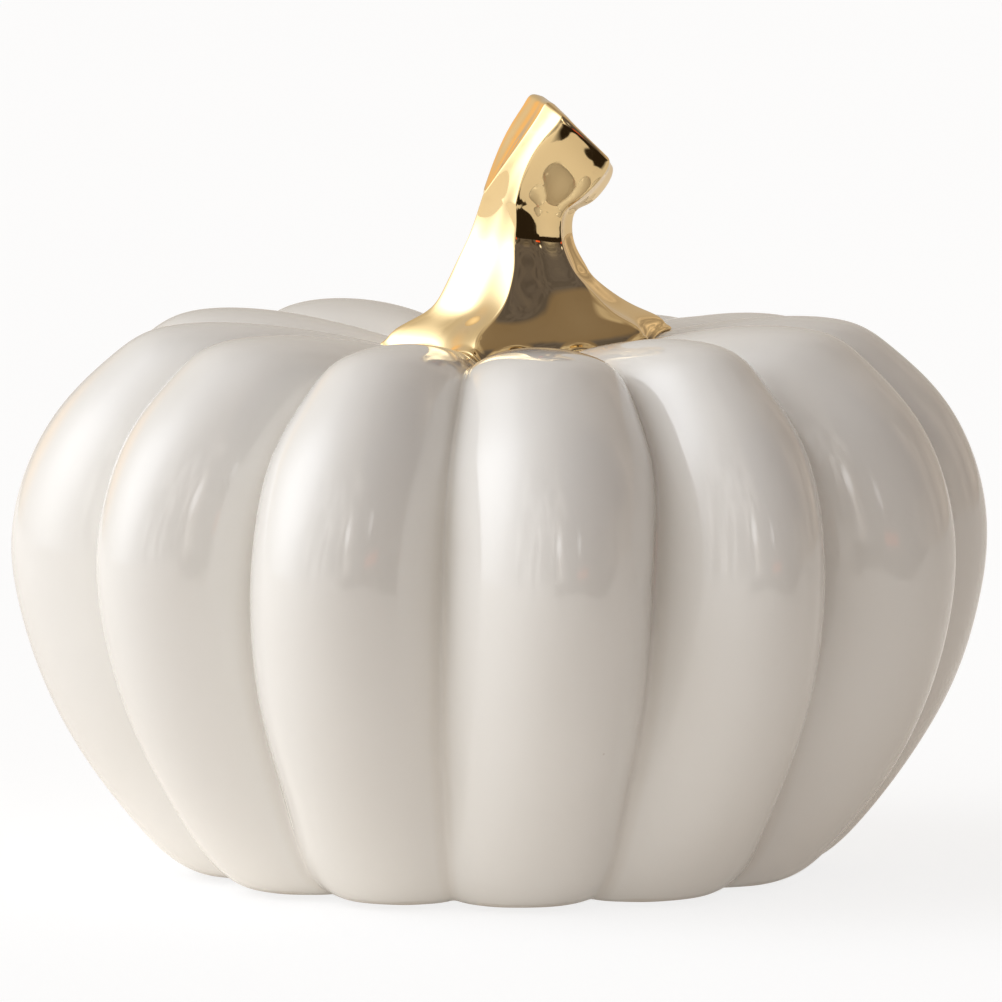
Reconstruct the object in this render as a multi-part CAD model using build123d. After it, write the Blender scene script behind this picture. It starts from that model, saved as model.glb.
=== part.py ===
from build123d import *
import math
import os

# Ceramic pumpkin figure: a hollow glazed shell with twelve lobes, a separately
# cast hooked stem bonded into the crown, and thin protective pads on the foot.
# Millimetres, +Z up, front is -Y, right is +X. The origin is the middle of the
# foot, on the table plane. Directions are degrees from the front, positive to
# the right. Heights in the tables and SEAT_Z are above the top of the pads.

# ---------------------------------------------------------------- dimensions
WALL = 4.2                  # slip-cast wall at a lobe crest
PAD_H = 0.6                 # protective pad thickness
PAD_D = 6.0                 # protective pad diameter
PAD_R = 39.5                # distance of the pads from the middle of their ring
PAD_SHIFT_X = 0.4           # shift of the pad ring to the right
PAD_STATION = 0.95          # shell station whose lobe middles set the pad directions
VENT_D = 12.0               # drain and vent hole in the underside
VENT_CUT_BOTTOM = -5.0      # cutter from below the table plane
VENT_CUT_H = 20.0           # cutter height above the foot
FOOT_CUT = (400, 400, 40)   # block that trims the foot flat
SEAT_Z = 78.0               # flat stem seat above the foot lands
SEAT_D = 26.0               # diameter of the flat stem seat
SEAT_CUT_H = 12.0           # cutter height above the seat
CROWN_HOLE_D = 16.0         # hole through the crown
CROWN_CUT_DEPTH = 20.0      # cutter depth below the seat
CROWN_WALL = 5.0            # wall left under the seat
BOND = 0.4                  # adhesive bed thickness, and skirt clearance
BOSS_D = 25.2               # boss under the stem root
BOSS_TOP = 5.0              # top of the boss above the seat
SPIGOT_D = 13.0             # locating spigot
SPIGOT_L = 9.0              # spigot length below the seat
SPIGOT_TOP = 3.0            # top of the spigot above the seat
SLEEVE_L = 5.0              # adhesive sleeve length below the seat
OVERCUT = 1.0               # how far a cutter runs past a face

SEAT_LEVEL = SEAT_Z + PAD_H  # stem seat above the table

# Shell section, crown to underside: station, crest radius, crest height,
# valley radius, valley height
PROFILE = [
    (0.00,   7.99,  79.61,   7.99,  79.61),
    (0.06,  15.06,  80.23,  14.75,  78.43),
    (0.12,  23.05,  81.95,  21.78,  78.55),
    (0.19,  32.47,  83.59,  29.23,  79.64),
    (0.26,  42.39,  84.54,  36.42,  80.26),
    (0.33,  53.13,  83.82,  44.11,  78.97),
    (0.40,  60.20,  79.78,  50.99,  73.97),
    (0.47,  67.70,  72.68,  56.85,  67.67),
    (0.54,  73.23,  62.98,  59.28,  60.41),
    (0.61,  75.57,  51.98,  60.14,  51.67),
    (0.68,  74.42,  41.07,  60.68,  41.53),
    (0.75,  70.62,  29.08,  59.29,  30.17),
    (0.82,  63.95,  16.75,  55.57,  18.77),
    (0.88,  56.23,   6.81,  50.70,   6.90),
    (0.92,  50.44,   1.45,  46.40,   1.95),
    (0.95,  45.14,  -0.65,  42.30,   0.45),
    (1.00,  36.79,  -0.10,  33.90,   0.75),
    (1.08,  23.05,   2.61,  22.75,   2.80),
    (1.16,  11.07,   3.23,  11.07,   3.23),
    (1.20,   7.07,   3.23,   7.07,   3.23),
]
STATIONS = [row[0] for row in PROFILE]
EXTRA_STATION = 0.03        # one more loft section, close to the crown hole

# Valley directions at the crown, the belly and the foot; lobe k lies between
# valleys k and k + 1
VALLEYS = [
    (-95.4, -98.4, -96.0), (-69.8, -63.8, -63.7), (-34.1, -37.0, -36.6),
    (-8.1, -8.0, -9.7), (23.9, 22.5, 18.8), (48.9, 48.8, 49.5),
    (82.2, 79.3, 80.8), (109.1, 110.5, 113.7), (139.5, 139.7, 143.8),
    (168.9, 169.1, 172.0), (196.0, 199.2, 200.5), (230.3, 231.1, 230.6),
]
VALLEY_STATIONS = (0.26, 0.61, 0.92)    # crown, belly, foot
VALLEY_RANGE = (0.20, 0.95)             # valleys keep their direction outside it
LOBES = len(VALLEYS)

# Per lobe: height difference of the crest, and how far the lobe is drawn in
# just above the foot
LIFT = [0.0, 0.0, 0.0, -0.4, 0.3, 0.7, 0.0, -1.6, -3.2, 0.0, -0.5, 0.0]
TUCK = [0.0, 0.0, 0.0, 0.0, 0.0, 1.3, 0.3, 0.0, 0.0, 0.0, 0.0, 0.0]

# Lobe cross-section: (station, roundness) and (station, softness of the valley)
SWELL_POWER = [(0.0, 1.52), (0.3, 1.57), (0.6, 1.47), (0.9, 1.37), (1.0, 1.32)]
VALLEY_SOFTNESS = [(0.0, 0.2), (0.3, 0.1), (0.5, 0.12), (0.75, 0.25), (0.92, 0.35)]
CAVITY_POWER = 1.15
# Places of the spline points across a lobe, valley to valley
LOBE_STEPS = [-1.0, -0.97, -0.9, -0.78, -0.6, -0.32, 0.0, 0.32, 0.6, 0.78, 0.9, 0.97, 1.0]

# Shift that puts the middle of the lobes over the origin
CENTRING = (-0.25, -0.16)
# Sideways drift of the shell: (height, shift to the right)
DRIFT = [(0.0, 0.44), (51.0, 0.0), (86.0, 0.6)]

# Stem sections, root to cut end: station, left x, left z, right x, right z,
# depth factor, facet hollow
STEM = [
    (0.00, -18.21,  76.38, 25.90,  77.00, 0.940, 0.20),
    (0.07, -17.90,  80.85, 25.74,  81.63, 0.906, 0.20),
    (0.13, -16.21,  83.32, 24.67,  84.25, 0.850, 0.21),
    (0.20, -12.06,  85.63, 20.67,  86.25, 0.915, 0.22),
    (0.30,  -8.99,  89.03, 14.98,  90.10, 0.985, 0.22),
    (0.41,  -6.53,  94.11, 12.99,  92.72, 0.930, 0.21),
    (0.50,  -4.99,  97.34, 11.45,  95.65, 0.900, 0.20),
    (0.58,  -3.92, 100.27, 10.91,  98.27, 0.970, 0.19),
    (0.68,  -2.61, 104.42, 11.45, 100.96, 1.000, 0.18),
    (0.80,  -0.38, 110.57, 13.91, 102.42, 0.990, 0.16),
    (0.90,   1.77, 114.80, 16.20, 104.90, 1.000, 0.14),
    (1.00,   3.77, 117.94, 17.29, 107.20, 1.000, 0.13),
    (1.06,   5.00, 119.17, 16.83, 108.58, 1.020, 0.12),
    (1.10,   6.53, 118.79, 15.14, 109.57, 1.040, 0.11),
]
# Ridge directions round the stem: station, left ridge, ridge 1, ridge 2,
# back left ridge; the right-hand ridges run straight
RIDGES = [
    (0.00, -78.0, -20.0, 53.0, 223.0),
    (0.13, -78.0, -22.0, 53.0, 223.0),
    (0.20, -78.0, -20.0, 52.0, 223.0),
    (0.30, -78.0,  -9.0, 57.0, 223.0),
    (0.41, -78.0,  -7.0, 50.0, 223.0),
    (0.50, -78.0,  -8.0, 49.0, 225.0),
    (0.58, -76.0,  -9.0, 48.0, 232.0),
    (0.68, -64.0, -15.0, 47.0, 246.0),
    (0.80, -50.0, -25.0, 46.0, 258.0),
    (0.90, -46.0, -26.0, 50.0, 262.0),
    (1.00, -46.0, -22.0, 52.0, 262.0),
    (1.10, -46.0, -20.0, 52.0, 262.0),
]
RIDGE_RIGHT, RIDGE_BACK_RIGHT = 103.0, 163.0
FACET_STEPS = [0.0, 0.12, 0.3, 0.5, 0.7, 0.88, 1.0]
FULL_HOLLOW_ANGLE = 50.0    # narrower facets are hollowed less
# How far the cut end leans back: rise of its front edge per millimetre of depth,
# and the stations over which the lean sets in
END_TILT = 0.13
TILT_START, TILT_END = 0.72, 1.0


# ---------------------------------------------------------------- mathematics
def spline_through(xs, ys):
    """Natural cubic through the points; returns a function."""
    n = len(xs)
    h = [xs[i + 1] - xs[i] for i in range(n - 1)]
    lower, diagonal, upper, right = [0.0] * n, [1.0] * n, [0.0] * n, [0.0] * n
    for i in range(1, n - 1):
        lower[i], diagonal[i], upper[i] = h[i - 1], 2.0 * (h[i - 1] + h[i]), h[i]
        right[i] = 6.0 * ((ys[i + 1] - ys[i]) / h[i] - (ys[i] - ys[i - 1]) / h[i - 1])
    for i in range(1, n):
        factor = lower[i] / diagonal[i - 1]
        diagonal[i] -= factor * upper[i - 1]
        right[i] -= factor * right[i - 1]
    bend = [0.0] * n    # second derivatives
    for i in range(n - 2, 0, -1):
        bend[i] = (right[i] - upper[i] * bend[i + 1]) / diagonal[i]

    def value(x):
        i = 0
        while i < n - 2 and x > xs[i + 1]:
            i += 1
        after, before = xs[i + 1] - x, x - xs[i]
        return ((bend[i] * after ** 3 + bend[i + 1] * before ** 3) / (6.0 * h[i])
                + (ys[i] / h[i] - bend[i] * h[i] / 6.0) * after
                + (ys[i + 1] / h[i] - bend[i + 1] * h[i] / 6.0) * before)
    return value


def column_splines(table):
    """One spline per column, over the stations in the first column."""
    stations, *columns = zip(*table)
    return [spline_through(stations, column) for column in columns]


def lerp_table(table, x):
    """Piecewise linear lookup in (x, y) pairs."""
    if x <= table[0][0]:
        return table[0][1]
    for (x0, y0), (x1, y1) in zip(table, table[1:]):
        if x <= x1:
            return y0 + (y1 - y0) * (x - x0) / (x1 - x0)
    return table[-1][1]


def ramp(x, start, end):
    """0 at start, 1 at end, straight between and level outside."""
    return min(max((x - start) / (end - start), 0.0), 1.0)


def cylinder(diameter, bottom, top, x=0.0, y=0.0):
    return Pos(x, y, bottom) * Cylinder(
        diameter / 2.0, top - bottom, align=(Align.CENTER, Align.CENTER, Align.MIN))


# ---------------------------------------------------------------- shell surface
def inner_curves(radius_at, height_at, crown_rise):
    """A profile curve moved inwards by the wall, with set ends at both holes."""
    radii, heights = [], []
    step = 0.004
    for t in STATIONS:
        t0, t1 = max(t - step, 0.0), min(t + step, STATIONS[-1])
        dr, dz = radius_at(t1) - radius_at(t0), height_at(t1) - height_at(t0)
        length = math.hypot(dr, dz)
        radii.append(radius_at(t) + WALL * dz / length)
        heights.append(height_at(t) - WALL * dr / length)
    # Keep the set wall under the stem seat, and a level floor round the vent
    radii[0] = PROFILE[0][1]
    heights[0] = SEAT_Z - CROWN_WALL
    heights[1] = min(heights[1], SEAT_Z - CROWN_WALL + crown_rise)
    for row in (-2, -1):
        radii[row] = PROFILE[row][1]
        heights[row] = PROFILE[row][2] + WALL
    return [spline_through(STATIONS, radii), spline_through(STATIONS, heights)]


# Crest radius, crest height, valley radius, valley height
OUTER = column_splines(PROFILE)
INNER = inner_curves(*OUTER[:2], crown_rise=0.6) + inner_curves(*OUTER[2:], crown_rise=0.3)


def valley_angle(k, t):
    """Direction of valley k: a parabola through its three measured directions."""
    crown, belly, foot = VALLEYS[k % LOBES]
    turn = 360.0 * (k // LOBES)
    s = min(max(t, VALLEY_RANGE[0]), VALLEY_RANGE[1])
    a, b, c = VALLEY_STATIONS
    return (crown * (s - b) * (s - c) / ((a - b) * (a - c))
            + belly * (s - a) * (s - c) / ((b - a) * (b - c))
            + foot * (s - a) * (s - b) / ((c - a) * (c - b)) + turn)


def swell(u, t):
    """Lobe bulge between two valleys: 0 at u = -1 and 1, 1 at the crest."""
    soft = lerp_table(VALLEY_SOFTNESS, t)
    bulge = max(1.0 - u * u, 0.0) ** (1.0 / lerp_table(SWELL_POWER, t))
    return (math.hypot(bulge, soft) - soft) / (math.hypot(1.0, soft) - soft)


def shell_point(curves, t, k, u):
    crest_r, crest_z, valley_r, valley_z = [curve(t) for curve in curves]
    bulge = (1.0 - u * u) ** CAVITY_POWER if curves is INNER else swell(u, t)
    start, end = valley_angle(k, t), valley_angle(k + 1, t)
    angle = math.radians((start + end) / 2.0 + (end - start) / 2.0 * u)
    r = valley_r + (crest_r - valley_r) * bulge
    z = valley_z + (crest_z - valley_z) * bulge
    # The lift acts on the shoulder, the tuck just above the foot
    z += LIFT[k] * bulge * ramp(z, 52.0, 84.0) ** 2 * ramp(r, 20.0, 40.0)
    r -= TUCK[k] * bulge * ramp(z, 26.0, 4.0) ** 2 * ramp(r, 25.0, 40.0)
    return Vector(r * math.sin(angle) + lerp_table(DRIFT, z) + CENTRING[0],
                  -r * math.cos(angle) + CENTRING[1],
                  z + PAD_H)


def shell_loft(curves):
    places = [(u + 1.0) / 2.0 for u in LOBE_STEPS]
    wires = []
    for t in sorted(STATIONS + [EXTRA_STATION]):
        wires.append(Wire([
            Edge.make_spline([shell_point(curves, t, k, u) for u in LOBE_STEPS],
                             parameters=places)
            for k in range(LOBES)]))
    return Solid.make_loft(wires, False)


# ---------------------------------------------------------------- pieces
def make_body(outer):
    body = outer - shell_loft(INNER)
    body -= Pos(0, 0, PAD_H) * Box(*FOOT_CUT, align=(Align.CENTER, Align.CENTER, Align.MAX))
    body -= cylinder(SEAT_D, SEAT_LEVEL, SEAT_LEVEL + SEAT_CUT_H)
    body -= cylinder(CROWN_HOLE_D, SEAT_LEVEL - CROWN_CUT_DEPTH, SEAT_LEVEL + OVERCUT)
    body -= cylinder(VENT_D, VENT_CUT_BOTTOM, PAD_H + VENT_CUT_H)
    return body


def ridge_angles(s):
    left, ridge_1, ridge_2, back_left = [
        lerp_table([(row[0], row[i]) for row in RIDGES], s) for i in (1, 2, 3, 4)]
    return [left, ridge_1, ridge_2, RIDGE_RIGHT, RIDGE_BACK_RIGHT, back_left, left + 360.0]


def stem_section(curves, s):
    """Closed section of hollowed facets, spanning the left and right points."""
    left_x, left_z, right_x, right_z, depth, hollow = [curve(s) for curve in curves]
    width = math.hypot(right_x - left_x, right_z - left_z)
    dir_x, dir_z = (right_x - left_x) / width, (right_z - left_z) / width
    angles = ridge_angles(s)
    left_share = max(-math.sin(math.radians(angles[i])) for i in (0, 5))
    right_share = math.sin(math.radians(RIDGE_RIGHT))
    half = width / (left_share + right_share)
    centre_x = left_x + dir_x * half * left_share
    centre_z = left_z + dir_z * half * left_share
    w = ramp(s, TILT_START, TILT_END)
    tilt = END_TILT * w * w * (3.0 - 2.0 * w)
    edges = []
    for start, end in zip(angles, angles[1:]):
        facet_hollow = hollow * min(1.0, ((end - start) / FULL_HOLLOW_ANGLE) ** 2)
        points = []
        for v in FACET_STEPS:
            angle = math.radians(start + (end - start) * v)
            radius = half * (1.0 - facet_hollow * math.sin(math.pi * v))
            across = radius * math.sin(angle)
            forward = radius * depth * math.cos(angle)
            points.append(Vector(centre_x + across * dir_x - tilt * forward * dir_z,
                                 -forward,
                                 centre_z + across * dir_z + tilt * forward * dir_x + PAD_H))
        edges.append(Edge.make_spline(points, parameters=FACET_STEPS))
    return Wire(edges)


def make_stem(outer):
    curves = column_splines(STEM)
    stem = Solid.make_loft([stem_section(curves, row[0]) for row in STEM], False)
    # Fit the skirt to the shell, and drop any loose offcuts
    stem = stem - outer.moved(Location((0, 0, BOND)))
    stem = max(stem.solids(), key=lambda s: s.volume)
    stem += cylinder(BOSS_D, SEAT_LEVEL + BOND, SEAT_LEVEL + BOSS_TOP)
    stem += cylinder(SPIGOT_D, SEAT_LEVEL - SPIGOT_L, SEAT_LEVEL + SPIGOT_TOP)
    return stem


def make_adhesive():
    """Bed on the seat and sleeve round the spigot."""
    sleeve_bottom = SEAT_LEVEL - SLEEVE_L
    adhesive = (cylinder(BOSS_D, SEAT_LEVEL, SEAT_LEVEL + BOND)
                + cylinder(CROWN_HOLE_D, sleeve_bottom, SEAT_LEVEL))
    return adhesive - cylinder(SPIGOT_D, sleeve_bottom - OVERCUT, SEAT_LEVEL + BOND + OVERCUT)


def make_pad(k):
    """Pad under the middle of lobe k."""
    angle = math.radians((valley_angle(k, PAD_STATION) + valley_angle(k + 1, PAD_STATION)) / 2.0)
    return cylinder(PAD_D, 0.0, PAD_H,
                    PAD_R * math.sin(angle) + PAD_SHIFT_X, -PAD_R * math.cos(angle))


outer_shell = shell_loft(OUTER)
parts = {
    "pumpkin_body": make_body(outer_shell),
    "stem": make_stem(outer_shell),
    "stem_adhesive": make_adhesive(),
    "base_pad_front_left": make_pad(1),
    "base_pad_front_right": make_pad(4),
    "base_pad_back_right": make_pad(7),
    "base_pad_back_left": make_pad(10),
}

os.makedirs("parts", exist_ok=True)
for name, shape in parts.items():
    solids = shape.solids()
    export_step(solids[0] if len(solids) == 1 else shape, f"parts/{name}.step")
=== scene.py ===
# A glazed ceramic pumpkin of twelve lobes with a gold-plated stem, standing on four small pads.
# +Z is up, the front faces -Y and +X is to the right; the floor is z = 0.
# Sizes and points are in millimetres until a mesh is made; the stage, camera and shaders
# are in metres. Azimuths are measured from the front (-Y) towards the right (+X).
import math

import bmesh
import bpy
import numpy as np
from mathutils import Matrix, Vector


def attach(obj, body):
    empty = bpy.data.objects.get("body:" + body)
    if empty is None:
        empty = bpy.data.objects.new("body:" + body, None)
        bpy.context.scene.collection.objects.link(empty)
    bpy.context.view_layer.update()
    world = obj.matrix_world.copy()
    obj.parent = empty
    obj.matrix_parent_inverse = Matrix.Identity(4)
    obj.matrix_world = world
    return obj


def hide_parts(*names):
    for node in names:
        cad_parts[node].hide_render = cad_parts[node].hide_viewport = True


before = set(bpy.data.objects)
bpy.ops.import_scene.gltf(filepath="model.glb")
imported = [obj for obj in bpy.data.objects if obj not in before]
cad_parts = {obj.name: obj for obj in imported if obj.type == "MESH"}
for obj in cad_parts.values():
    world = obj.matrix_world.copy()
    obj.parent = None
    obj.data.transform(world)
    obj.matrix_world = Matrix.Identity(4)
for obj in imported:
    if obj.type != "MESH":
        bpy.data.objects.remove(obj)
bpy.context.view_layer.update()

# ------------------------------------------------------------------ sizes, mm
PAD_H, PAD_D = 0.6, 6.0
PAD_RING_R, PAD_SHIFT_X = 39.5, 0.4
WALL, CROWN_WALL = 4.2, 5.0
SEAT_Z, SEAT_D = 78.0, 26.0         # flat seat for the stem; its height is above the pads
BOND = 0.4                          # adhesive thickness
CROWN_HOLE_D, VENT_D = 16.0, 12.0
BOSS_D, SPIGOT_D, SPIGOT_L = 25.2, 13.0, 9.0
SEAT_TOP = SEAT_Z + PAD_H
CENTRING_X, CENTRING_Y = -0.25, -0.16

# Outer wall from crown to vent: station, crest radius, crest z, groove radius, groove z
PROFILE = np.array([
    (0.00, 7.99, 79.61, 7.99, 79.61), (0.06, 15.06, 80.23, 14.75, 78.43),
    (0.12, 23.05, 81.95, 21.78, 78.55), (0.19, 32.47, 83.59, 29.23, 79.64),
    (0.26, 42.39, 84.54, 36.42, 80.26), (0.33, 53.13, 83.82, 44.11, 78.97),
    (0.40, 60.20, 79.78, 50.99, 73.97), (0.47, 67.70, 72.68, 56.85, 67.67),
    (0.54, 73.23, 62.98, 59.28, 60.41), (0.61, 75.57, 51.98, 60.14, 51.67),
    (0.68, 74.42, 41.07, 60.68, 41.53), (0.75, 70.62, 29.08, 59.29, 30.17),
    (0.82, 63.95, 16.75, 55.57, 18.77), (0.88, 56.23, 6.81, 50.70, 6.90),
    (0.92, 50.44, 1.45, 46.40, 1.95), (0.95, 45.14, -0.65, 42.30, 0.45),
    (1.00, 36.79, -0.10, 33.90, 0.75), (1.08, 23.05, 2.61, 22.75, 2.80),
    (1.16, 11.07, 3.23, 11.07, 3.23), (1.20, 7.07, 3.23, 7.07, 3.23)])

# Azimuth of each groove in degrees at the crown, belly and foot stations
VALLEYS = np.array([
    (-95.4, -98.4, -96.0), (-69.8, -63.8, -63.7), (-34.1, -37.0, -36.6),
    (-8.1, -8.0, -9.7), (23.9, 22.5, 18.8), (48.9, 48.8, 49.5),
    (82.2, 79.3, 80.8), (109.1, 110.5, 113.7), (139.5, 139.7, 143.8),
    (168.9, 169.1, 172.0), (196.0, 199.2, 200.5), (230.3, 231.1, 230.6)])
CROWN_AT, BELLY_AT, FOOT_AT = 0.26, 0.61, 0.92
LOBES = len(VALLEYS)

# Per lobe: how far the top of the crest rises, and how far its foot draws in
LIFT = np.array([0.0, 0.0, 0.0, -0.4, 0.3, 0.7, 0.0, -1.6, -3.2, 0.0, -0.5, 0.0])
TUCK = np.array([0.0, 0.0, 0.0, 0.0, 0.0, 1.3, 0.3, 0.0, 0.0, 0.0, 0.0, 0.0])

# Stem from root to tip: station, left edge x and z, right edge x and z,
# depth as a share of half the width, hollowing of the faces between ridges
STEM = np.array([
    (0.00, -18.21, 76.38, 25.90, 77.00, 0.940, 0.20),
    (0.07, -17.90, 80.85, 25.74, 81.63, 0.906, 0.20),
    (0.13, -16.21, 83.32, 24.67, 84.25, 0.850, 0.21),
    (0.20, -12.06, 85.63, 20.67, 86.25, 0.915, 0.22),
    (0.30, -8.99, 89.03, 14.98, 90.10, 0.985, 0.22),
    (0.41, -6.53, 94.11, 12.99, 92.72, 0.930, 0.21),
    (0.50, -4.99, 97.34, 11.45, 95.65, 0.900, 0.20),
    (0.58, -3.92, 100.27, 10.91, 98.27, 0.970, 0.19),
    (0.68, -2.61, 104.42, 11.45, 100.96, 1.000, 0.18),
    (0.80, -0.38, 110.57, 13.91, 102.42, 0.990, 0.16),
    (0.90, 1.77, 114.80, 16.20, 104.90, 1.000, 0.14),
    (1.00, 3.77, 117.94, 17.29, 107.20, 1.000, 0.13),
    (1.06, 5.00, 119.17, 16.83, 108.58, 1.020, 0.12),
    (1.10, 6.53, 118.79, 15.14, 109.57, 1.040, 0.11)])

# Stem ridges: station, then azimuths of the left, front left, front right and back left ridges
RIDGES = np.array([
    (0.00, -78.0, -20.0, 53.0, 223.0), (0.13, -78.0, -22.0, 53.0, 223.0),
    (0.20, -78.0, -20.0, 52.0, 223.0), (0.30, -78.0, -9.0, 57.0, 223.0),
    (0.41, -78.0, -7.0, 50.0, 223.0), (0.50, -78.0, -8.0, 49.0, 225.0),
    (0.58, -76.0, -9.0, 48.0, 232.0), (0.68, -64.0, -15.0, 47.0, 246.0),
    (0.80, -50.0, -25.0, 46.0, 258.0), (0.90, -46.0, -26.0, 50.0, 262.0),
    (1.00, -46.0, -22.0, 52.0, 262.0), (1.10, -46.0, -20.0, 52.0, 262.0)])
RIDGE_RIGHT, RIDGE_BACK_RIGHT = 103.0, 163.0
END_TILT = 0.13


# ------------------------------------------------------------------ mathematics
class Cubic:
    """Natural cubic spline."""

    def __init__(self, knots, values):
        self.knots, self.values = np.asarray(knots, float), np.asarray(values, float)
        self.gaps = gaps = np.diff(self.knots)
        slopes = np.diff(self.values) / gaps
        count = len(self.knots)
        matrix, target = np.eye(count), np.zeros(count)
        for i in range(1, count - 1):
            matrix[i, i - 1:i + 2] = gaps[i - 1], 2 * (gaps[i - 1] + gaps[i]), gaps[i]
            target[i] = 6 * (slopes[i] - slopes[i - 1])
        self.bends = np.linalg.solve(matrix, target)

    def __call__(self, x):
        x = np.asarray(x, float)
        i = np.clip(np.searchsorted(self.knots, x, side="right") - 1, 0, len(self.gaps) - 1)
        gap, bends, values = self.gaps[i], self.bends, self.values
        after, before = self.knots[i + 1] - x, x - self.knots[i]
        return ((bends[i] * after ** 3 + bends[i + 1] * before ** 3) / (6 * gap)
                + (values[i] / gap - bends[i] * gap / 6) * after
                + (values[i + 1] / gap - bends[i + 1] * gap / 6) * before)


def ease(x, start, end):
    """Smooth step from 0 at start to 1 at end."""
    share = np.clip((x - start) / (end - start), 0.0, 1.0)
    return share * share * (3 - 2 * share)


def ring(radius, z, azimuths, centre_x=0.0, centre_y=0.0):
    return np.stack([centre_x + radius * np.sin(azimuths),
                     centre_y - radius * np.cos(azimuths), z + 0 * azimuths], -1)


# ------------------------------------------------------------------ shell surface
def offset_inwards(radius_of, height_of, shoulder_rise):
    """The radius and height curves one wall inside an outer pair, flat at both ends."""
    step = 0.004
    radii, heights = [], []
    for station in PROFILE[:, 0]:
        before, after = max(station - step, 0.0), min(station + step, PROFILE[-1, 0])
        run = radius_of(after) - radius_of(before)
        rise = height_of(after) - height_of(before)
        length = math.hypot(run, rise)
        radii.append(float(radius_of(station) + WALL * rise / length))
        heights.append(float(height_of(station) - WALL * run / length))
    crown_z = SEAT_Z - CROWN_WALL
    radii[0], heights[0] = PROFILE[0, 1], crown_z
    heights[1] = min(heights[1], crown_z + shoulder_rise)
    for end in (-2, -1):
        radii[end], heights[end] = PROFILE[end, 1], PROFILE[end, 2] + WALL
    return [Cubic(PROFILE[:, 0], radii), Cubic(PROFILE[:, 0], heights)]


outer_curves = [Cubic(PROFILE[:, 0], column) for column in PROFILE.T[1:]]
inner_curves = (offset_inwards(*outer_curves[:2], shoulder_rise=0.6)
                + offset_inwards(*outer_curves[2:], shoulder_rise=0.3))


def valley(k, station):
    """Azimuth of groove k in degrees: a parabola through its three measured places."""
    crown, belly, foot = VALLEYS[k % LOBES]
    s = np.clip(station, 0.20, 0.95)
    a, b, c = CROWN_AT, BELLY_AT, FOOT_AT
    return (crown * (s - b) * (s - c) / ((a - b) * (a - c))
            + belly * (s - a) * (s - c) / ((b - a) * (b - c))
            + foot * (s - a) * (s - b) / ((c - a) * (c - b)) + 360.0 * (k // LOBES))


def lobe_azimuths(k, station, across):
    left, right = valley(k, station), valley(k + 1, station)
    return np.radians((left + right) / 2 + (right - left) / 2 * across)


def outer_swell(across, station):
    """Cross-section of a lobe: 0 in the grooves, 1 on the crest."""
    power = np.interp(station, [0.0, 0.3, 0.6, 0.9, 1.0], [1.52, 1.57, 1.47, 1.37, 1.32])
    soft = np.interp(station, [0.0, 0.3, 0.5, 0.75, 0.92], [0.2, 0.1, 0.12, 0.25, 0.35])
    bulge = np.maximum(1.0 - across * across, 0.0) ** (1.0 / power)
    return ((np.sqrt(bulge * bulge + soft * soft) - soft)
            / (np.sqrt(1.0 + soft * soft) - soft))


def shell(station, k, across, inner=False):
    """Points of lobe k and the swell there; across runs from -1 to 1 between grooves."""
    curves = inner_curves if inner else outer_curves
    crest_r, crest_z, groove_r, groove_z = (curve(station) for curve in curves)
    swell = (1.0 - across * across) ** 1.15 if inner else outer_swell(across, station)
    azimuth = lobe_azimuths(k, station, across)
    r = groove_r + (crest_r - groove_r) * swell
    z = groove_z + (crest_z - groove_z) * swell
    high = np.clip((z - 52.0) / 32.0, 0.0, 1.0)
    z = z + LIFT[k] * swell * high * high * np.clip((r - 20.0) / 20.0, 0.0, 1.0)
    low = np.clip((26.0 - z) / 22.0, 0.0, 1.0)
    r = r - TUCK[k] * swell * low * low * np.clip((r - 25.0) / 15.0, 0.0, 1.0)
    lean = np.interp(z, [0.0, 51.0, 86.0], [0.44, 0.0, 0.6])
    x = r * np.sin(azimuth) + lean + CENTRING_X
    y = -r * np.cos(azimuth) + CENTRING_Y
    return np.stack([x, y, z + PAD_H], -1), swell + 0 * station


# ------------------------------------------------------------------ mesh helpers
def add_object(name, data):
    ob = bpy.data.objects.new(name, data)
    bpy.context.scene.collection.objects.link(ob)
    return ob


def grid_mesh(name, rings, close_rings=False, cap_start=None, cap_end=None, attrs=None):
    """A closed mesh from rings of points; each cap is a single middle point."""
    rings = np.asarray(rings, float)
    ring_count, columns = rings.shape[:2]
    verts = rings.reshape(-1, 3).tolist()
    faces = []
    for i in range(ring_count if close_rings else ring_count - 1):
        here, above = i * columns, ((i + 1) % ring_count) * columns
        for j in range(columns):
            k = (j + 1) % columns
            faces.append((here + j, above + j, above + k, here + k))
    last = (ring_count - 1) * columns
    for cap, base, first, second in ((cap_start, 0, 0, 1), (cap_end, last, 1, 0)):
        if cap is not None:
            tip = len(verts)
            verts.append(list(map(float, cap)))
            faces += [(base + (j + first) % columns, base + (j + second) % columns, tip)
                      for j in range(columns)]
    mesh = bpy.data.meshes.new(name)
    mesh.from_pydata([(x / 1000, y / 1000, z / 1000) for x, y, z in verts], [], faces)
    # attribute values are one per ring point, so they suit meshes without caps
    for key, values in (attrs or {}).items():
        layer = mesh.attributes.new(key, "FLOAT", "POINT")
        layer.data.foreach_set("value", np.asarray(values, dtype=np.float32).reshape(-1))
    mesh.validate()
    bm = bmesh.new()
    bm.from_mesh(mesh)
    bmesh.ops.recalc_face_normals(bm, faces=bm.faces)
    for face in bm.faces:
        face.smooth = True
    bm.to_mesh(mesh)
    bm.free()
    return add_object(name, mesh)


def subdivide(ob):
    smooth = ob.modifiers.new("smooth", "SUBSURF")
    smooth.levels, smooth.render_levels = 1, 2


def register(ob, cad_name):
    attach(ob, "root")
    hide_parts(cad_name)


# ------------------------------------------------------------------ pumpkin shell
LOBE_COLUMNS = 16
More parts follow.
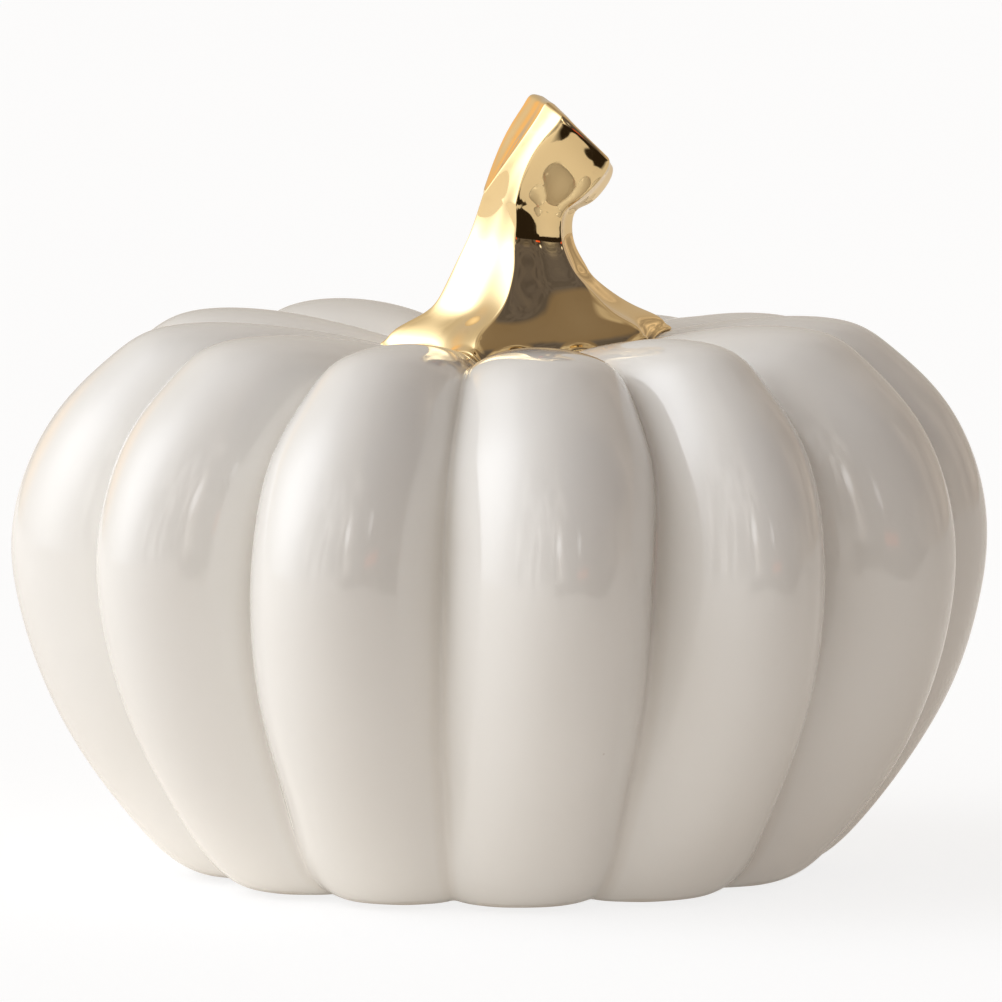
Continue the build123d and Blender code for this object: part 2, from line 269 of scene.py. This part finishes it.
# columns across a lobe, drawn closer together near the grooves
lobe_steps = (-np.cos(np.linspace(0, np.pi, LOBE_COLUMNS + 1))[:-1] * 0.55
              + np.linspace(-1, 1, LOBE_COLUMNS + 1)[:-1] * 0.45)


def column_azimuths(station):
    return np.concatenate([lobe_azimuths(k, station, lobe_steps) for k in range(LOBES)])


def shell_ring(station, inner=False):
    stations = np.full(LOBE_COLUMNS, float(station))
    lobes = [shell(stations, k, lobe_steps, inner) for k in range(LOBES)]
    return [np.concatenate(parts) for parts in zip(*lobes)]


def build_body():
    """Rings run over the outside, up through the vent and back along the inside."""
    rows, swells, bare = [], [], []

    def add(points, swell=0.0, unglazed=0.0):
        rows.append(points)
        swells.append(np.zeros(len(points)) + swell)
        bare.append(np.zeros(len(points)) + unglazed)

    # crown hole wall, then the stem seat
    hole_r = CROWN_HOLE_D / 2
    for radius, z in ((hole_r, SEAT_TOP - CROWN_WALL), (hole_r, SEAT_TOP - 0.4),
                      (hole_r + 0.4, SEAT_TOP), (SEAT_D / 2 - 0.15, SEAT_TOP)):
        add(ring(radius, z, column_azimuths(0.0)), unglazed=1)

    # low wall round the seat
    stations = np.concatenate([np.linspace(0.055, 0.28, 18)[:-1],
                               np.linspace(0.28, 0.9, 50)[:-1], np.linspace(0.9, 1.2, 24)])
    first, _ = shell_ring(stations[0])
    x, y, z = first.T
    away = np.hypot(x, y)
    add(np.stack([x / away * SEAT_D / 2, y / away * SEAT_D / 2, z - 0.1], -1))

    for station in stations[:-2]:
        points, swell = shell_ring(station)
        x, y, z = points.T
        # slight waviness of a hand-finished, slip-cast wall
        wave = (0.10 * np.sin(x * 0.11 + z * 0.07 + 1.3) * np.sin(y * 0.09 - z * 0.05)
                + 0.05 * np.sin(x * 0.23 - y * 0.19 + z * 0.17))
        away = np.hypot(x, y)
        wave = wave * ease(away, 24.0, 34.0) * ease(z, 3.0, 12.0)
        z = np.maximum(z, PAD_H)
        # the glaze stops where the wall comes down to its lowest level
        foot = ease(-z, -(PAD_H + 0.45), -(PAD_H + 0.1)) * (away > 30)
        add(np.stack([x + wave * x / away, y + wave * y / away, z], -1), swell, foot)

    # vent hole through the underside
    vent_r, vent_z = VENT_D / 2, PROFILE[-1, 2] + PAD_H
    for radius, z in ((vent_r + 1.0, vent_z), (vent_r + 0.3, vent_z + 0.1),
                      (vent_r, vent_z + 0.5), (vent_r, vent_z + WALL - 0.4),
                      (vent_r + 0.6, vent_z + WALL)):
        add(ring(radius, z, column_azimuths(1.0)), unglazed=1)

    for station in np.linspace(1.16, 0.06, 20):
        add(*shell_ring(station, inner=True), 1)
    ob = grid_mesh("pumpkin_shell_glazed", rows, close_rings=True,
                   attrs={"swell": swells, "bare": bare})
    subdivide(ob)
    register(ob, "pumpkin_body")
    return ob


body = build_body()

# ------------------------------------------------------------------ crown height
CROWN_R_STEP, CROWN_TURN_STEP = 0.25, 0.5      # mm outwards, degrees round
crown_turns = np.linspace(0, 360, 721)
crown_radii = np.linspace(0.0, 60.0, 241)


def crown_table():
    """Height of the crown by azimuth (rows) and radius (columns)."""
    azimuths, heights = [], []
    stations, across = np.meshgrid(np.linspace(0.0, 0.42, 120),
                                   np.linspace(-1, 1, 41)[:-1], indexing="ij")
    for k in range(LOBES):
        points, _ = shell(stations, k, across)
        x, y, z = np.moveaxis(points, -1, 0)
        turn = np.degrees(np.arctan2(x - CENTRING_X, -(y - CENTRING_Y)))
        away = np.hypot(x, y)
        for j in range(across.shape[1]):
            # the first stations lie too near the axis for a steady azimuth
            azimuths.append(np.median(turn[20:, j]) % 360.0)
            heights.append(np.interp(crown_radii, away[:, j], z[:, j]))
    order = np.argsort(azimuths)
    azimuths, heights = np.array(azimuths)[order], np.array(heights)[order]
    azimuths = np.concatenate([azimuths[-1:] - 360, azimuths, azimuths[:1] + 360])
    heights = np.concatenate([heights[-1:], heights, heights[:1]])
    return np.stack([np.interp(crown_turns, azimuths, column) for column in heights.T], -1)


crown_z = crown_table()


def crown_height(x, y):
    turn = (np.degrees(np.arctan2(x, -y)) % 360.0) / CROWN_TURN_STEP
    away = np.clip(np.hypot(x, y) / CROWN_R_STEP, 0, len(crown_radii) - 1.001)
    i, j = np.floor(turn).astype(int), np.floor(away).astype(int)
    turn_part, away_part = turn - i, away - j
    k = np.minimum(i + 1, len(crown_turns) - 1)
    near = crown_z[i, j] * (1 - turn_part) + crown_z[k, j] * turn_part
    far = crown_z[i, j + 1] * (1 - turn_part) + crown_z[k, j + 1] * turn_part
    return near * (1 - away_part) + far * away_part


# ------------------------------------------------------------------ stem
FACETS, FACET_COLUMNS = 6, 26
STEM_COLUMNS = FACETS * FACET_COLUMNS
facet_steps = (1 - np.cos(np.linspace(0, np.pi, FACET_COLUMNS + 1))[:-1]) / 2
stem_curves = [Cubic(STEM[:, 0], column) for column in STEM.T[1:]]
ridge_curves = [Cubic(STEM[:, 0], np.interp(STEM[:, 0], RIDGES[:, 0], column))
                for column in RIDGES.T[1:]]


def stem_points(station):
    """One closed section of the stem; the station may differ from column to column."""
    station = np.broadcast_to(np.asarray(station, float), (STEM_COLUMNS,))
    left_x, left_z, right_x, right_z, depth, hollow = (c(station) for c in stem_curves)
    width = np.hypot(right_x - left_x, right_z - left_z)
    side_x, side_z = (right_x - left_x) / width, (right_z - left_z) / width

    left, front_left, front_right, back_left = (c(station) for c in ridge_curves)
    left_reach = np.maximum(-np.sin(np.radians(left)), -np.sin(np.radians(back_left)))
    half = width / (left_reach + math.sin(math.radians(RIDGE_RIGHT)))
    centre_x = left_x + side_x * half * left_reach
    centre_z = left_z + side_z * half * left_reach

    ridges = np.array([left, front_left, front_right, 0 * left + RIDGE_RIGHT,
                       0 * left + RIDGE_BACK_RIGHT, back_left, left + 360.0])
    column = np.arange(STEM_COLUMNS)
    facet = column // FACET_COLUMNS
    across = np.tile(facet_steps, FACETS)
    start = ridges[facet, column]
    span = ridges[facet + 1, column] - start
    azimuth = np.radians(start + span * across)
    hollow = hollow * np.minimum(1.0, (span / 50.0) ** 2)
    soft = 0.05
    scoop = ((np.sqrt(np.sin(np.pi * across) ** 2 + soft * soft) - soft)
             / (math.sqrt(1 + soft * soft) - soft))
    reach = (1.0 - hollow * scoop) * half
    sideways, forward = reach * np.sin(azimuth), reach * depth * np.cos(azimuth)
    tilt = END_TILT * ease(station, 0.72, 1.0)
    return np.stack([centre_x + sideways * side_x - tilt * forward * side_z, -forward,
                     centre_z + sideways * side_z + tilt * forward * side_x + PAD_H], -1)


def stem_root():
    """The station at which each column meets the crown, by bisection."""
    low, high = np.zeros(STEM_COLUMNS), np.full(STEM_COLUMNS, 0.45)
    for _ in range(40):
        middle = (low + high) / 2
        points = stem_points(middle)
        above = points[:, 2] > crown_height(points[:, 0], points[:, 1]) + 0.25
        high, low = np.where(above, middle, high), np.where(above, low, middle)
    return (low + high) / 2


def build_stem():
    root_stations = stem_root()
    root_xy = stem_points(root_stations)[:, :2]
    out = root_xy - np.array([3.8, 0.0])
    out /= np.linalg.norm(out, axis=1, keepdims=True)
    azimuths = np.arctan2(out[:, 0], -out[:, 1])

    # spigot and underside of the boss
    rows = [ring(radius, z, azimuths) for radius, z in (
        (SPIGOT_D / 2 - 1.0, SEAT_TOP - SPIGOT_L), (SPIGOT_D / 2, SEAT_TOP - SPIGOT_L + 1.0),
        (SPIGOT_D / 2, SEAT_TOP + BOND), (BOSS_D / 2 - 0.2, SEAT_TOP + BOND))]
    x, y, _ = ring(BOSS_D / 2, 0, azimuths).T
    rows.append(np.stack([x, y, crown_height(x * 1.06, y * 1.06) + 0.2], -1))

    # rolled lip of the root: push outwards, rise above the crown
    for push, rise in ((-1.2, -0.10), (0.05, -0.10), (0.42, 0.02), (0.62, 0.22),
                       (0.60, 0.48), (0.36, 0.72), (0.12, 0.90)):
        x, y = (root_xy + out * push).T
        rows.append(np.stack([x, y, crown_height(x, y) + rise], -1))

    start = root_stations + 0.022
    rows += [stem_points(start + (1.0 - start) * share) for share in np.linspace(0, 1, 90)]
    rows += [stem_points(station) for station in np.linspace(1.0, 1.10, 9)[1:]]

    # dished cut end: share of the end section, shift along the stem axis
    end = stem_points(1.10)
    centre = end.mean(axis=0)
    axis = np.array([0.72, 0.13, 0.68])
    for share, shift in ((0.97, 0.02), (0.90, -0.05), (0.75, -0.35), (0.55, -0.7),
                         (0.3, -0.95), (0.12, -1.02)):
        rows.append(centre + (end - centre) * share + axis * shift)

    # slight unevenness above the root
    rows = np.array(rows)
    x, y, z = np.moveaxis(rows, -1, 0)
    wave = 0.10 * np.sin(x * 0.45 + z * 0.33) * np.sin(y * 0.41 + z * 0.27 + 0.8)
    rows[..., 1] += wave * ease(z, 88.0, 94.0)
    ob = grid_mesh("stem_gold_plated", rows, cap_start=(0, 0, SEAT_TOP - SPIGOT_L),
                   cap_end=centre - axis * 1.04)
    subdivide(ob)
    register(ob, "stem")
    return ob


stem = build_stem()


# ------------------------------------------------------------------ base pads
def build_pad(cad_name, k):
    """A round pad under the middle of lobe k."""
    azimuth = math.radians(float(valley(k, 0.95) + valley(k + 1, 0.95)) / 2)
    x = PAD_RING_R * math.sin(azimuth) + PAD_SHIFT_X
    y = -PAD_RING_R * math.cos(azimuth)
    turn = np.linspace(0, 2 * np.pi, 65)[:-1]
    r = PAD_D / 2
    outline = ((r * 0.5, 0.0), (r - 0.25, 0.0), (r - 0.06, 0.06), (r, 0.18), (r, 0.42),
               (r - 0.05, 0.56), (r - 0.2, PAD_H), (r * 0.5, PAD_H))
    ob = grid_mesh(cad_name + "_dot", [ring(radius, z, turn, x, y) for radius, z in outline],
                   cap_start=(x, y, 0.0), cap_end=(x, y, PAD_H))
    register(ob, cad_name)
    return ob


pads = [build_pad("base_pad_" + place, k) for place, k in (
    ("front_left", 1), ("front_right", 4), ("back_right", 7), ("back_left", 10))]


# ------------------------------------------------------------------ shader helper
def is_socket(value):
    return isinstance(value, bpy.types.NodeSocket)


class Nodes:
    """Short calls for building a node tree; any value may be a number or a socket."""

    def __init__(self, tree):
        self.tree = tree
        tree.nodes.clear()

    def add(self, kind, inputs=None, **settings):
        node = self.tree.nodes.new(kind)
        for key, value in settings.items():
            setattr(node, key, value)
        for key, value in (inputs or {}).items():
            if is_socket(value):
                self.tree.links.new(value, node.inputs[key])
            else:
                node.inputs[key].default_value = value
        return node

    def coords(self, kind):
        return self.add("ShaderNodeTexCoord").outputs[kind]

    def camera_ray(self):
        return self.add("ShaderNodeLightPath").outputs["Is Camera Ray"]

    def math(self, operation, a, b=0.0, c=0.0, clamp=False):
        return self.add("ShaderNodeMath", {0: a, 1: b, 2: c}, operation=operation,
                        use_clamp=clamp).outputs[0]

    def times(self, a, b):
        return self.math("MULTIPLY", a, b)

    def plus(self, a, b):
        return self.math("ADD", a, b)

    def mix(self, factor, a, b, blend="MIX"):
        """Colour a where the factor is 0, colour b where it is 1."""
        a, b = (v if is_socket(v) else (*v, 1.0) for v in (a, b))
        return self.add("ShaderNodeMix", {"Factor": factor, 6: a, 7: b}, data_type="RGBA",
                        blend_type=blend).outputs[2]

    def ramp(self, value, *stops):
        """Each stop is a position and a grey level or colour."""
        node = self.add("ShaderNodeValToRGB", {0: value})
        elements = node.color_ramp.elements
        while len(elements) < len(stops):
            elements.new(0.5)
        for element, (position, shade) in zip(elements, stops):
            element.position = position
            element.color = (*shade, 1.0) if isinstance(shade, tuple) else (*[shade] * 3, 1.0)
        return node.outputs[0]

    def fade(self, value, start, end):
        """0 below start, 1 above end."""
        return self.ramp(value, (start, 0.0), (end, 1.0))

    def noise(self, vector, scale, detail=2.0, rough=0.5):
        return self.add("ShaderNodeTexNoise", {"Vector": vector, "Scale": scale,
                        "Detail": detail, "Roughness": rough}).outputs[0]

    def stretched(self, vector, scale):
        return self.add("ShaderNodeMapping", {"Vector": vector, "Scale": scale}).outputs[0]

    def bump(self, height, strength, distance):
        return self.add("ShaderNodeBump", {"Strength": strength, "Distance": distance,
                                           "Height": height}).outputs[0]

    def principled(self, inputs):
        bsdf = self.add("ShaderNodeBsdfPrincipled", inputs)
        self.add("ShaderNodeOutputMaterial", {"Surface": bsdf.outputs[0]})


def new_material(name):
    material = bpy.data.materials.new(name)
    material.use_nodes = True
    return material, Nodes(material.node_tree)


# ------------------------------------------------------------------ materials
def glaze_material():
    material, n = new_material("cream_gloss_glaze")
    place = n.coords("Object")
    swell, bare = (n.add("ShaderNodeAttribute", attribute_name=name).outputs["Fac"]
                   for name in ("swell", "bare"))
    cloud = n.noise(place, scale=18.0, detail=3.0, rough=0.55)
    fine = n.noise(place, scale=160.0)
    base = n.mix(n.fade(cloud, start=0.3, end=0.7),
                 a=(0.850, 0.828, 0.790), b=(0.875, 0.858, 0.828))
    # painted shade: the colour is darker in the grooves between the lobes, where shade falls
    painted_shading_mask = n.ramp(swell, (0.0, 1.0), (0.22, 0.0))
    base = n.mix(n.times(painted_shading_mask, 0.55), base, b=(0.760, 0.715, 0.655))
    # rare pinholes and iron specks: a small dot in one cell of ten
    cells = n.add("ShaderNodeTexVoronoi", {"Vector": place, "Scale": 62.0}, feature="F1")
    pick = n.add("ShaderNodeSeparateColor", {0: cells.outputs["Color"]}).outputs[0]
    speck = n.times(n.math("LESS_THAN", cells.outputs["Distance"], 0.035),
                    n.math("GREATER_THAN", pick, 0.90))
    base = n.mix(n.times(speck, 0.3), base, b=(0.50, 0.42, 0.35))
    base = n.mix(bare, base, b=(0.70, 0.62, 0.53))
    # gloss, barely uneven, and rough where bare
    rough = n.plus(0.055, n.times(n.fade(fine, start=0.35, end=0.75), 0.035))
    rough = n.math("ADD", rough, n.times(bare, 0.55), clamp=True)
    # relief: orange peel, slow undulation, pinholes
    peel = n.noise(place, scale=55.0, detail=1.0, rough=0.4)
    slow = n.noise(place, scale=14.0, detail=1.0, rough=0.4)
    height = n.plus(n.times(peel, 0.25), n.times(slow, 1.2))
    height = n.math("SUBTRACT", height, n.times(speck, 0.3))
    n.principled({"Base Color": base, "Roughness": rough, "IOR": 1.52,
                  "Normal": n.bump(height, strength=0.25, distance=0.0006),
                  "Coat Weight": 0.6, "Coat Roughness": 0.03, "Coat IOR": 1.5})
    return material


def gold_material():
    material, n = new_material("mirror_gold_plating")
    place = n.coords("Object")
    cloud = n.noise(place, scale=60.0)
    base = n.mix(n.fade(cloud, start=0.3, end=0.7), a=(0.93, 0.70, 0.36), b=(0.97, 0.76, 0.43))
    # fine wear, darker and rougher
    wear = n.fade(n.noise(place, scale=420.0, rough=0.6), start=0.62, end=0.8)
    base = n.mix(n.times(wear, 0.15), base, b=(0.70, 0.50, 0.28))
    slow = n.noise(place, scale=95.0, detail=1.0, rough=0.4)
    n.principled({"Base Color": base, "Metallic": 1.0,
                  "Roughness": n.plus(0.045, n.times(wear, 0.08)),
                  "Normal": n.bump(slow, strength=0.22, distance=0.0006)})
    return material


def epoxy_material():
    material, n = new_material("cured_epoxy")
    cloud = n.noise(n.coords("Object"), scale=220.0, detail=3.0, rough=0.6)
    base = n.mix(n.fade(cloud, start=0.3, end=0.7), a=(0.70, 0.62, 0.42), b=(0.80, 0.74, 0.56))
    n.principled({"Base Color": base, "Roughness": n.plus(0.15, n.times(cloud, 0.1)),
                  "Normal": n.bump(cloud, strength=0.3, distance=0.0003),
                  "Transmission Weight": 0.3, "IOR": 1.55})
    return material


def pad_material():
    material, n = new_material("soft_clear_pad")
    cloud = n.noise(n.coords("Object"), scale=300.0, detail=3.0, rough=0.6)
    base = n.mix(cloud, a=(0.74, 0.73, 0.70), b=(0.84, 0.83, 0.80))
    n.principled({"Base Color": base, "Roughness": n.plus(0.35, n.times(cloud, 0.2)),
                  "Normal": n.bump(cloud, strength=0.3, distance=0.0002),
                  "Transmission Weight": 0.25, "IOR": 1.42})
    return material


glaze, gold, epoxy, pad_clear = (glaze_material(), gold_material(), epoxy_material(),
                                 pad_material())
body.data.materials.append(glaze)
stem.data.materials.append(gold)
for pad in pads:
    pad.data.materials.append(pad_clear)
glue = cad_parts["stem_adhesive"]
glue.data.materials.clear()
glue.data.materials.append(epoxy)


# ------------------------------------------------------------------ floor
def floor_material():
    """Near-white to the camera; a lit table with a dark room beyond to other rays."""
    material, n = new_material("pale_floor")
    seen = n.camera_ray()
    place = n.coords("Object")
    mottle = n.ramp(n.noise(place, scale=3.0), (0.3, 0.98), (0.7, 1.0))
    colour = n.mix(seen, a=(0.88, 0.845, 0.79), b=(0.97, 0.97, 0.97))
    colour = n.mix(1.0, colour, mottle, blend="MULTIPLY")
    diffuse = n.add("ShaderNodeBsdfDiffuse", {"Color": colour})
    glow = n.add("ShaderNodeEmission", {"Color": (1, 1, 1, 1), "Strength": 1.08})
    lit = n.add("ShaderNodeMixShader", {0: n.times(seen, 0.74), 1: diffuse.outputs[0],
                                        2: glow.outputs[0]})
    # daylight pooled on the table to the left of the object
    x, y = n.add("ShaderNodeSeparateXYZ", {0: place}).outputs[:2]
    unseen = n.math("SUBTRACT", 1.0, seen)
    painted_shading_mask = n.ramp(n.plus(x, 0.5), (0.15, 1.0), (0.75, 0.15))
    sun = n.add("ShaderNodeEmission", {"Color": (1.0, 0.985, 0.96, 1),
                                       "Strength": n.times(n.times(painted_shading_mask, unseen), 0.30)})
    both = n.add("ShaderNodeAddShader", {0: lit.outputs[0], 1: sun.outputs[0]})
    # past a wavering edge to the front and right the floor of the room is dark
    waver, waver_size = n.noise(place, scale=9.0, rough=0.6), 0.16
    past_front = n.fade(n.math("MULTIPLY_ADD", waver, waver_size, n.times(y, -1.0)),
                        start=0.57, end=0.60)
    past_side = n.fade(n.math("MULTIPLY_ADD", waver, waver_size, x), start=0.345, end=0.365)
    right = n.fade(n.plus(x, 0.5), start=0.46, end=0.60)
    near = n.fade(n.times(y, -1.0), start=0.14, end=0.20)
    beyond = n.math("MAXIMUM", n.times(past_front, right), n.times(past_side, near))
    beyond = n.times(beyond, unseen)
    shade = n.add("ShaderNodeBsdfDiffuse", {"Color": (0.030, 0.022, 0.015, 1)})
    table = n.add("ShaderNodeMixShader", {0: beyond, 1: both.outputs[0], 2: shade.outputs[0]})
    n.add("ShaderNodeOutputMaterial", {"Surface": table.outputs[0]})
    return material


def build_floor():
    material = floor_material()
    bm = bmesh.new()
    for x, y in ((-8, -8), (8, -8), (8, 10), (-8, 10)):
        bm.verts.new((x, y, 0.0))
    bm.faces.new(bm.verts)
    mesh = bpy.data.meshes.new("floor")
    bm.to_mesh(mesh)
    bm.free()
    floor = add_object("floor", mesh)
    mesh.materials.append(material)


build_floor()


# ------------------------------------------------------------------ room
def build_room():
    """All the light but the floor's own: a painted room, plain white to the camera."""
    world = bpy.data.worlds.new("studio_room")
    bpy.context.scene.world = world
    world.use_nodes = True
    n = Nodes(world.node_tree)
    ray = n.coords("Generated")
    dx, dy, dz = n.add("ShaderNodeSeparateXYZ", {0: ray}).outputs
    turn = n.math("DIVIDE", n.math("ARCTAN2", dx, n.times(dy, -1.0)), 2 * math.pi)
    turn = n.plus(turn, 0.5)

    def by_azimuth(*stops):
        """A ramp round the room; each stop is an azimuth in degrees and a shade."""
        return n.ramp(turn, *[((degrees + 180.0) / 360.0, shade) for degrees, shade in stops])

    def along(axis):
        return n.add("ShaderNodeVectorMath", {0: ray, 1: axis},
                     operation="DOT_PRODUCT").outputs["Value"]

    def patch(azimuth, elevation, half_w, half_h, power):
        """A soft-edged patch round one direction; half sizes are sines of angles."""
        az, el = math.radians(azimuth), math.radians(elevation)
        side = (math.cos(az), math.sin(az), 0.0)
        up = (-math.sin(az) * math.sin(el), math.cos(az) * math.sin(el), math.cos(el))
        ahead = (math.sin(az) * math.cos(el), -math.cos(az) * math.cos(el), math.sin(el))
        across, upward = (
            n.math("POWER", n.math("DIVIDE", n.math("ABSOLUTE", along(axis)), half), 2.0)
            for axis, half in ((side, half_w), (up, half_h)))
        spread = n.math("POWER", n.plus(across, upward), power)
        return n.times(n.math("EXPONENT", n.times(spread, -1.0)),
                       n.math("GREATER_THAN", along(ahead), 0.0))

    walls = by_azimuth((-180, (0.54, 0.49, 0.43)), (-135, (0.62, 0.565, 0.48)),
                       (-70, (0.72, 0.70, 0.67)), (-20, (0.69, 0.665, 0.635)),
                       (8, (0.60, 0.56, 0.51)), (90, (0.56, 0.47, 0.38)),
                       (140, (0.52, 0.44, 0.36)), (180, (0.54, 0.49, 0.43)))

    # tall shapes in the room, seen in the gloss as upright streaks
    tall = n.stretched(ray, scale=(1.0, 1.0, 0.16))
    streaks = n.ramp(n.noise(tall, scale=7.5, detail=3.0, rough=0.65),
                     (0.36, 0.25), (0.50, 0.85), (0.66, 2.4))
    where = n.times(n.ramp(dz, (0.02, 0.0), (0.05, 1.0), (0.75, 1.0), (0.92, 0.0)),
                    by_azimuth((-75, 0.0), (-55, 1.0), (84, 1.0),
                               (96, 0.45), (130, 0.45), (150, 0.0)))
    room = n.mix(where, walls, n.mix(1.0, walls, streaks, blend="MULTIPLY"))

    # dark side of the room to the front right, in three bands of height
    stretch = n.stretched(ray, scale=(1.0, 1.0, 0.45))
    shapes = n.fade(n.noise(stretch, scale=5.5, rough=0.6), start=0.44, end=0.52)
    low = n.mix(shapes, a=(0.036, 0.030, 0.030), b=(0.105, 0.094, 0.096))
    middle = n.mix(shapes, a=(0.088, 0.081, 0.094), b=(0.112, 0.104, 0.122))
    dark = n.mix(n.fade(dz, start=0.20, end=0.30), low, middle)
    dark = n.mix(n.fade(dz, start=0.87, end=0.925), dark, b=(0.205, 0.160, 0.120))

    grain = n.stretched(ray, scale=(1.0, 0.35, 1.0))
    ceiling = n.mix(n.fade(n.noise(grain, scale=6.0, rough=0.6), start=0.40, end=0.60),
                    a=(0.25, 0.195, 0.14), b=(0.48, 0.42, 0.35))
    room = n.mix(n.fade(dz, start=0.62, end=0.9), room, ceiling)
    # the dark side reaches further right higher up
    front = n.mix(n.fade(dz, start=0.22, end=0.34),
                  by_azimuth((8, 0.0), (22, 1.0), (66, 1.0), (84, 0.0)),
                  by_azimuth((8, 0.0), (22, 1.0), (92, 1.0), (108, 0.0)))
    room = n.mix(n.times(front, 0.97), room, dark)

    # a small warm lamp low in the room, which the plating picks up
    lamp = n.times(n.ramp(dx, (0.50, 0.0), (0.52, 1.0), (0.70, 1.0), (0.72, 0.0)),
                   n.ramp(dz, (0.0, 0.0), (0.012, 1.0), (0.07, 1.0), (0.082, 0.0)))
    lamp = n.times(lamp, n.math("LESS_THAN", dy, 0.0))
    room = n.mix(lamp, room, b=(1.1, 0.16, 0.04))
    # warm wood behind on the left, low down
    wood = patch(azimuth=-143, elevation=13, half_w=0.24, half_h=0.20, power=1.5)
    room = n.mix(wood, room, b=(0.98, 0.64, 0.31))
    # broad soft daylight from a window on the left
    window = patch(azimuth=-82, elevation=33, half_w=0.46, half_h=0.52, power=1.35)
    room = n.mix(window, room, b=(2.83, 2.92, 3.06))
    # two narrow upright lights at the front, which draw the small glints
    glint = patch(azimuth=6, elevation=18, half_w=0.055, half_h=0.10, power=2.0)
    room = n.mix(n.times(glint, 0.9), room, b=(3.4, 3.4, 3.4))
    glint = patch(azimuth=33, elevation=17, half_w=0.045, half_h=0.09, power=2.0)
    room = n.mix(n.times(glint, 0.8), room, b=(1.9, 1.9, 1.9))
    room = n.mix(n.camera_ray(), room, b=(0.985, 0.985, 0.985))
    background = n.add("ShaderNodeBackground", {"Color": room, "Strength": 1.0})
    n.add("ShaderNodeOutputWorld", {"Surface": background.outputs[0]})


build_room()

# ------------------------------------------------------------------ camera, metres
CAMERA_DISTANCE, CAMERA_ELEVATION = 1.844262295, math.radians(6.2)
TARGET_ABOVE_PADS = 0.061475410
AIM_RIGHT, AIM_DOWN = 0.000230533, 0.004994877     # aim point, from the target
SENSOR_WIDTH, FOCAL_LENGTH = 36.0, 431.1377246     # mm


def build_camera():
    data = bpy.data.cameras.new("camera")
    data.sensor_width, data.lens = SENSOR_WIDTH, FOCAL_LENGTH
    data.clip_start, data.clip_end = 0.05, 50.0
    camera = add_object("camera", data)
    target = Vector((CENTRING_X / 1000, CENTRING_Y / 1000, TARGET_ABOVE_PADS + PAD_H / 1000))
    sine, cosine = math.sin(CAMERA_ELEVATION), math.cos(CAMERA_ELEVATION)
    camera.location = target + Vector((0, -cosine, sine)) * CAMERA_DISTANCE
    aim = target + Vector((AIM_RIGHT, 0, 0)) - Vector((0, sine, cosine)) * AIM_DOWN
    camera.rotation_mode = "QUATERNION"
    camera.rotation_quaternion = (aim - camera.location).to_track_quat("-Z", "Y")
    bpy.context.scene.camera = camera


build_camera()
bpy.context.scene.view_settings.view_transform = "Standard"
bpy.context.scene.view_settings.look = "None"

bpy.context.view_layer.update()
